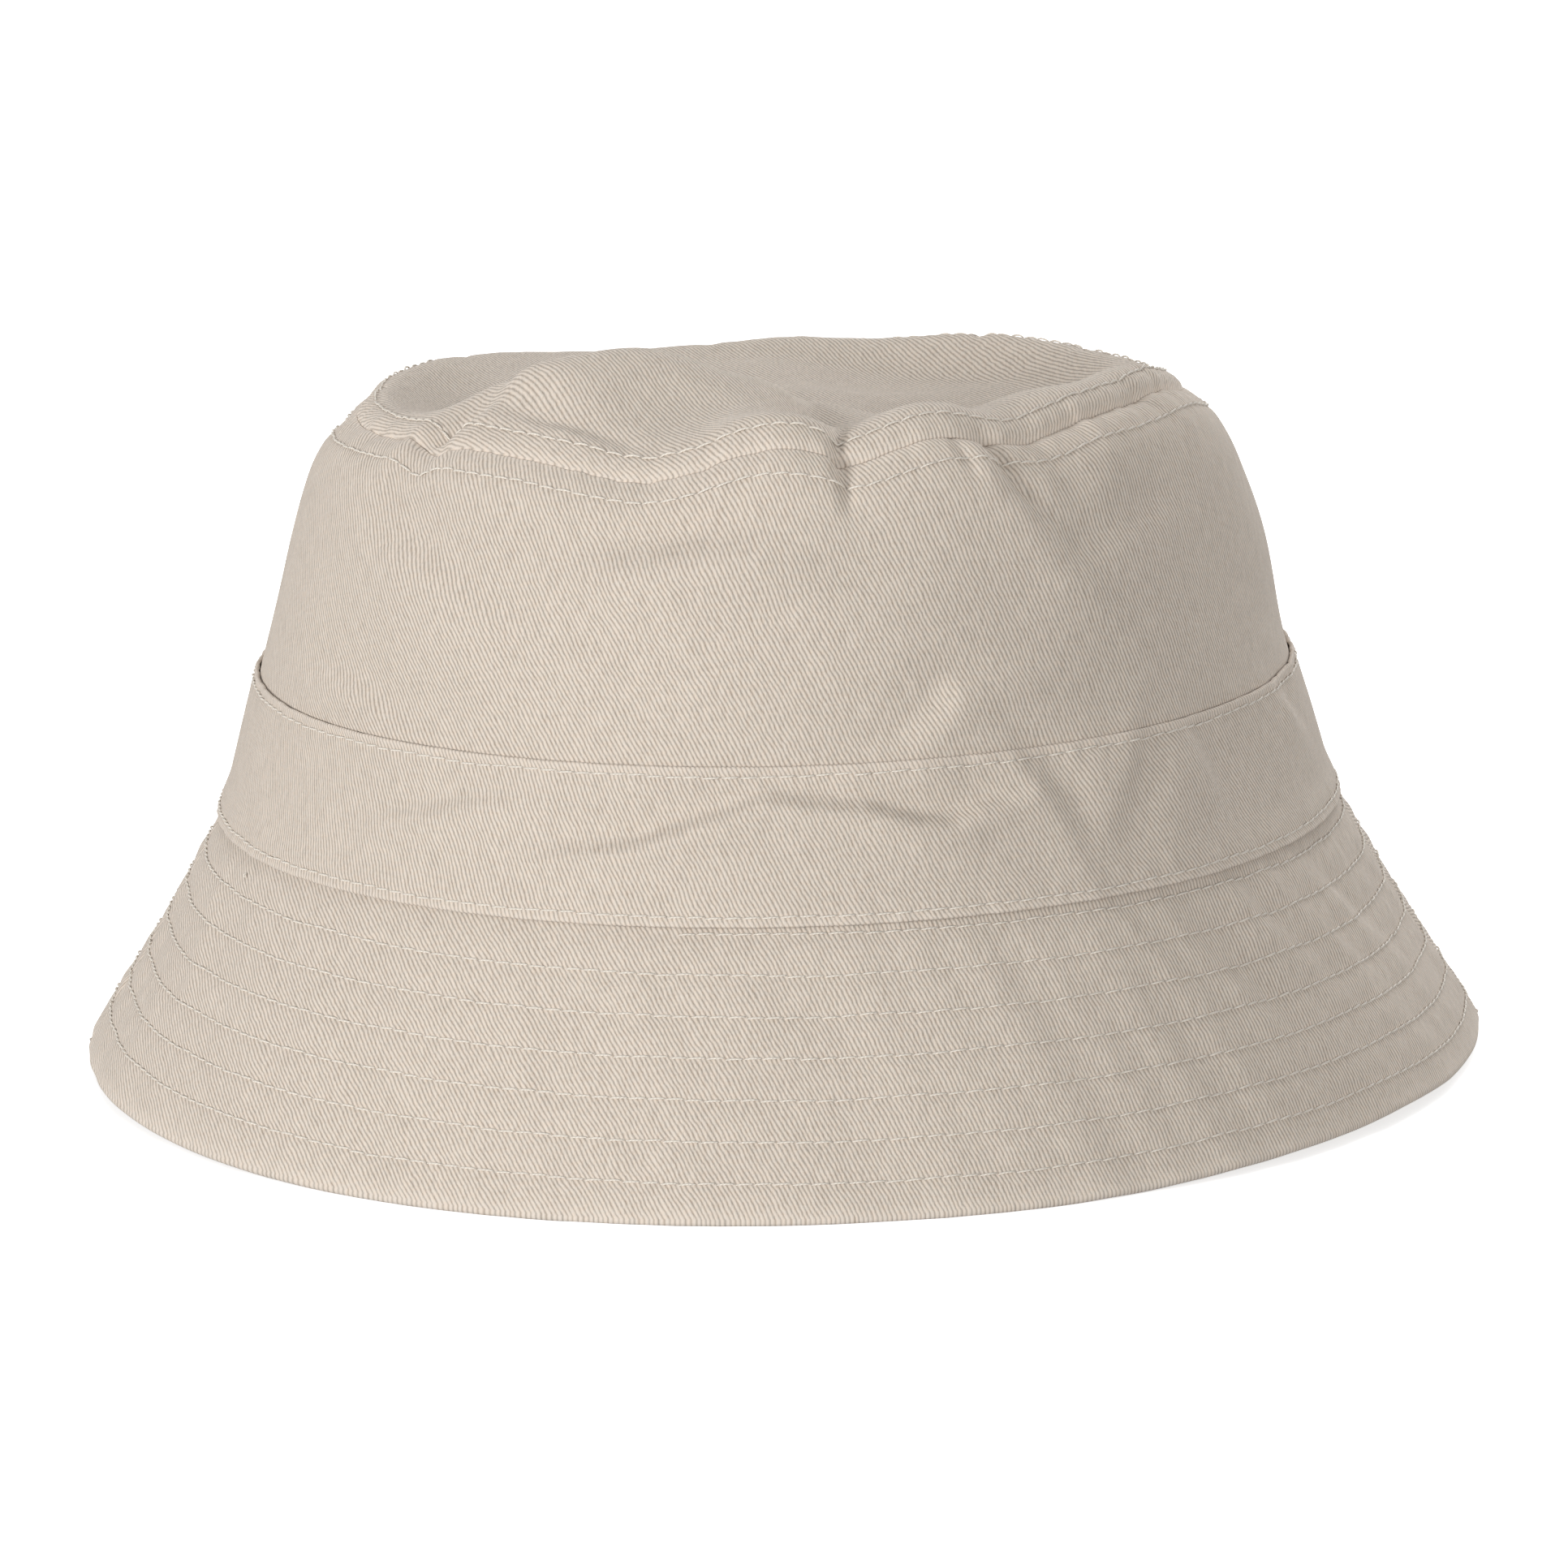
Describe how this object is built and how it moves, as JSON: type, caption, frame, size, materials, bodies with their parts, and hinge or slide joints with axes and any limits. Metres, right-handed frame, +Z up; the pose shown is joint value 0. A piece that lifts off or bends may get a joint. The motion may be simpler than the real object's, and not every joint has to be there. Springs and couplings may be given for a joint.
{
  "type": "bucket hat",
  "caption": "Soft cotton twill bucket hat: oval tip, sloping crown, folded outer band and a quilted downward brim, with a sweatband and taped seams inside.",
  "frame": {"origin": "centre of the hem's footprint, on the surface that the hat stands on", "axes": "+Z up through the crown, -Y towards the wearer's front, +X towards the wearer's left"},
  "size_m": [0.2384, 0.2505, 0.1183],
  "materials": {
    "stone_twill": "matt cotton twill, pale stone beige",
    "sweatband_twill": "matt cotton twill, cut on the cross",
    "seam_tape": "plain woven cotton tape",
    "stiffener_canvas": "unbleached woven stiffener",
    "thread": "spun sewing thread, a little lighter than the cloth",
    "label_satin": "blank satin ribbon"
  },
  "bodies": {
    "hat": {"crown_tip": "stone_twill", "side_crown_front": "stone_twill", "side_crown_back": "stone_twill", "outer_band": "stone_twill", "upper_brim_front": "stone_twill", "upper_brim_back": "stone_twill", "under_brim_front": "stone_twill", "under_brim_back": "stone_twill", "brim_interlining": "stiffener_canvas", "sweatband": "sweatband_twill", "tip_seam_tape": "seam_tape", "side_seam_tape_left": "seam_tape", "side_seam_tape_right": "seam_tape", "brim_stitch_row_1": "thread", "brim_stitch_row_2": "thread", "brim_stitch_row_3": "thread", "brim_stitch_row_4": "thread", "brim_stitch_row_5": "thread", "brim_stitch_row_6": "thread", "brim_stitch_row_7": "thread", "tip_seam_stitch_lower": "thread", "tip_seam_stitch_upper": "thread", "band_stitch_lower": "thread", "band_stitch_upper": "thread", "sweatband_stitch": "thread"},
    "care_label": {"care_label": "label_satin"}
  },
  "joints": [
    {"name": "label_swing", "type": "hinge", "parent": "hat", "child": "care_label", "pos_m": [0, 0.08631, 0.07389], "axis": [-1, 0, 0], "range_deg": [-10, 110]}
  ]
}
